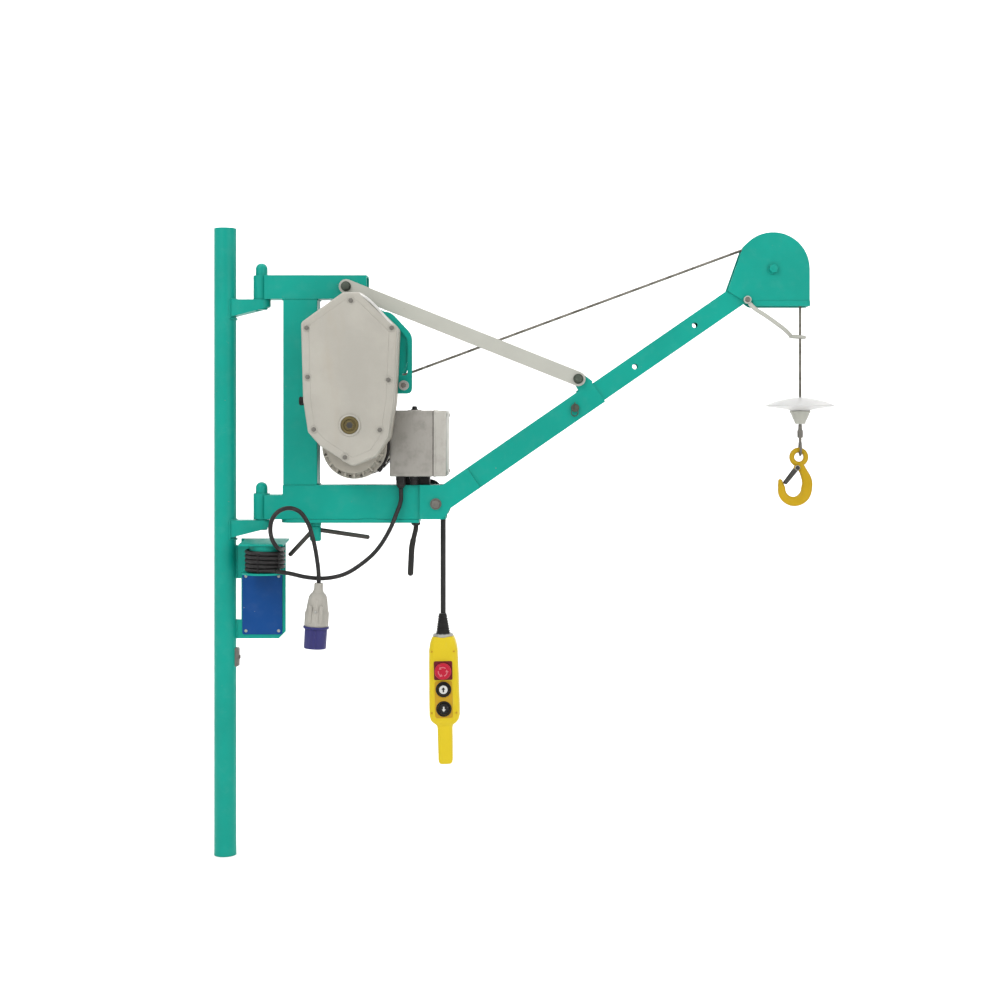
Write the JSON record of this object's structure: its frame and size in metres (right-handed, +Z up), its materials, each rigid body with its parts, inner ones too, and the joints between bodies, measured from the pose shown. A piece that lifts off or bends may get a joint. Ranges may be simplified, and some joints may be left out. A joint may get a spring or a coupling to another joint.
{
  "type": "builder's jib hoist",
  "caption": "Round post carrying a swinging telescopic jib with an electric rope winch, head pulley, rope, limit disc, swivelling safety hook and hanging push-button control.",
  "frame": {"origin": "centre of the post's foot, on the plane of its lower end", "axes": "+Z up along the post, +X from the post out along the jib to the load, +Y away from the side that shows the gear cover"},
  "size_m": [1.3632, 0.28, 1.376],
  "materials": {
    "green": "glossy turquoise-green enamel",
    "grey_paint": "satin light grey enamel",
    "casting": "light grey painted casting",
    "steel": "bright zinc-plated steel",
    "dark_steel": "blackened steel",
    "black": "satin black",
    "rubber": "matt black rubber",
    "white": "white enamel",
    "yellow": "yellow moulded plastic",
    "hook_yellow": "ochre yellow paint, worn",
    "red": "red moulded plastic",
    "blue": "blue enamel",
    "plug_grey": "light grey moulded plastic"
  },
  "bodies": {
    "post": {"post_tube": "green", "post_foot_plug": "black", "post_top_plug": "black", "upper_bracket": "green", "lower_bracket": "green", "upper_hinge_pin": "steel", "lower_hinge_pin": "steel", "hanger_plate": "green", "blank_plate": "blue", "cord_coil": "rubber", "cord_tail": "rubber", "cord_plug": "plug_grey"},
    "swing_frame": {"supply_cord": "rubber", "upper_beam": "green", "lower_beam": "green", "frame_column": "green", "base_strip": "dark_steel", "boom_outer": "green", "boom_pivot_bolt": "steel", "brace_bar": "grey_paint", "brace_upper_bolt": "steel", "brace_lower_bolt": "steel", "gear_case": "casting", "gear_cover": "casting", "motor_housing": "casting", "fan_cowl": "black", "drum_bearing_plate": "grey_paint", "rope_guard": "dark_steel", "electric_box": "grey_paint", "box_lid": "grey_paint", "cord_gland": "black", "lead_gland": "black", "pendant_lead": "rubber", "lock_boss": "green", "grip_handle": "rubber", "rope_run": "steel"},
    "lock_screw": {"lock_screw": "dark_steel"},
    "drum": {"rope_drum": "black", "rope_winding": "steel", "drum_gear": "steel"},
    "second_shaft": {"second_gear": "steel"},
    "first_shaft": {"first_gear": "steel"},
    "rotor": {"motor_rotor": "dark_steel"},
    "boom_inner": {"boom_inner": "green", "head_housing": "green", "pulley_axle": "steel"},
    "lock_pin": {"boom_lock_pin": "steel"},
    "pulley": {"rope_pulley": "dark_steel"},
    "lever": {"limit_lever": "grey_paint"},
    "hook_block": {"rope_fall": "steel", "limit_disc": "white", "ballast_cone": "casting", "rope_eye": "steel"},
    "hook": {"load_hook": "hook_yellow"},
    "latch": {"hook_latch": "dark_steel"},
    "pendant": {"pendant_case": "yellow", "pendant_cable": "rubber"},
    "e_stop": {"emergency_stop": "red"},
    "up_button": {"up_button": "white"},
    "down_button": {"down_button": "black"}
  },
  "joints": [
    {"name": "jib_swing", "type": "hinge", "parent": "post", "child": "swing_frame", "pos_m": [0.08, 0, 0], "axis": [0, 0, 1], "range_deg": [0, 110], "deforming": ["supply_cord"]},
    {"name": "lock_screw_turn", "type": "hinge", "parent": "swing_frame", "child": "lock_screw", "pos_m": [0.1985, 0, 0.7], "axis": [0, 0, 1], "range_deg": [-60, 60]},
    {"name": "motor_spin", "type": "hinge", "parent": "swing_frame", "child": "rotor", "pos_m": [0.2916, 0, 0.89778], "axis": [0, 1, 0], "range_deg": [-2600, 14400]},
    {"name": "first_shaft_spin", "type": "hinge", "parent": "swing_frame", "child": "first_shaft", "pos_m": [0.29, 0, 0.944], "axis": [0, 1, 0], "range_deg": [-6150, 1150]},
    {"name": "second_shaft_spin", "type": "hinge", "parent": "swing_frame", "child": "second_shaft", "pos_m": [0.28949, 0, 1.0205], "axis": [0, 1, 0], "range_deg": [-310, 1690]},
    {"name": "drum_spin", "type": "hinge", "parent": "swing_frame", "child": "drum", "pos_m": [0.309, 0, 1.104], "axis": [0, 1, 0], "range_deg": [-490, 90]},
    {"name": "boom_slide", "type": "slide", "parent": "swing_frame", "child": "boom_inner", "axis": [0.8231, 0, 0.5678], "range_m": [-0.318, 0], "deforming": ["rope_run"]},
    {"name": "lock_pin_pull", "type": "slide", "parent": "swing_frame", "child": "lock_pin", "axis": [0, -1, 0], "range_m": [0, 0.05]},
    {"name": "pulley_spin", "type": "hinge", "parent": "boom_inner", "child": "pulley", "pos_m": [1.201, 0, 1.285], "axis": [0, 1, 0], "range_deg": [-110, 595]},
    {"name": "hoist", "type": "slide", "parent": "boom_inner", "child": "hook_block", "axis": [0, 0, 1], "range_m": [-0.65, 0.12], "deforming": ["rope_fall"]},
    {"name": "limit_lever_tilt", "type": "hinge", "parent": "boom_inner", "child": "lever", "pos_m": [1.144, -0.033, 1.217], "axis": [0, 1, 0], "range_deg": [-8, 0]},
    {"name": "hook_tilt", "type": "hinge", "parent": "hook_block", "child": "hook", "pos_m": [1.264, 0, 0.878], "axis": [0, 1, 0], "range_deg": [-20, 20]},
    {"name": "latch_open", "type": "hinge", "parent": "hook", "child": "latch", "pos_m": [1.257, 0, 0.85], "axis": [0, 1, 0], "range_deg": [-35, 0], "stiffness_Nm_per_rad": 0.02, "springref_deg": 20.05},
    {"name": "pendant_swing", "type": "hinge", "parent": "swing_frame", "child": "pendant", "pos_m": [0.4755, 0.052, 0.7285], "axis": [0, 1, 0], "range_deg": [-15, 15]},
    {"name": "e_stop_press", "type": "slide", "parent": "pendant", "child": "e_stop", "axis": [0, 1, 0], "range_m": [0, 0.004], "stiffness_N_per_m": 1200, "springref_m": -0.001},
    {"name": "up_press", "type": "slide", "parent": "pendant", "child": "up_button", "axis": [0, 1, 0], "range_m": [0, 0.004], "stiffness_N_per_m": 800, "springref_m": -0.001},
    {"name": "down_press", "type": "slide", "parent": "pendant", "child": "down_button", "axis": [0, 1, 0], "range_m": [0, 0.004], "stiffness_N_per_m": 800, "springref_m": -0.001}
  ],
  "couplings": [
    {"joint": "first_shaft_spin", "follows": "motor_spin", "ratio": -0.42308},
    {"joint": "second_shaft_spin", "follows": "motor_spin", "ratio": 0.11635},
    {"joint": "drum_spin", "follows": "motor_spin", "ratio": -0.033679},
    {"joint": "hoist", "follows": "motor_spin", "m_per_rad": -0.0025697},
    {"joint": "pulley_spin", "follows": "motor_spin", "ratio": 0.040789}
  ]
}
